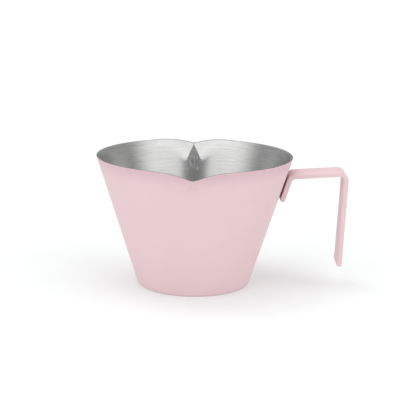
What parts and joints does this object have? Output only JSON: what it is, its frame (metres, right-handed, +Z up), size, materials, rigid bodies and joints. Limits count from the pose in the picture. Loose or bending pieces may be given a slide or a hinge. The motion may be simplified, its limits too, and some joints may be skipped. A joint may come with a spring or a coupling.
{
  "type": "pouring cup",
  "caption": "Small conical metal cup with a pouring spout on each side and a flat strip handle, for measuring and pouring melted wax, soap base or resin.",
  "frame": {"origin": "centre of the cup's flat base, on the cup's axis, on the plane it stands on", "axes": "+Z up along the cup's axis, +X from the cup towards the handle, +Y and -Y towards the two spouts"},
  "size_m": [0.096, 0.082, 0.05],
  "materials": {
    "pink_powder_coat": "satin powder coat",
    "brushed_steel": "brushed"
  },
  "bodies": {
    "root": {"pot_body": "pink_powder_coat", "handle": "pink_powder_coat", "weld_lower": "brushed_steel", "weld_upper": "brushed_steel"}
  },
  "joints": []
}
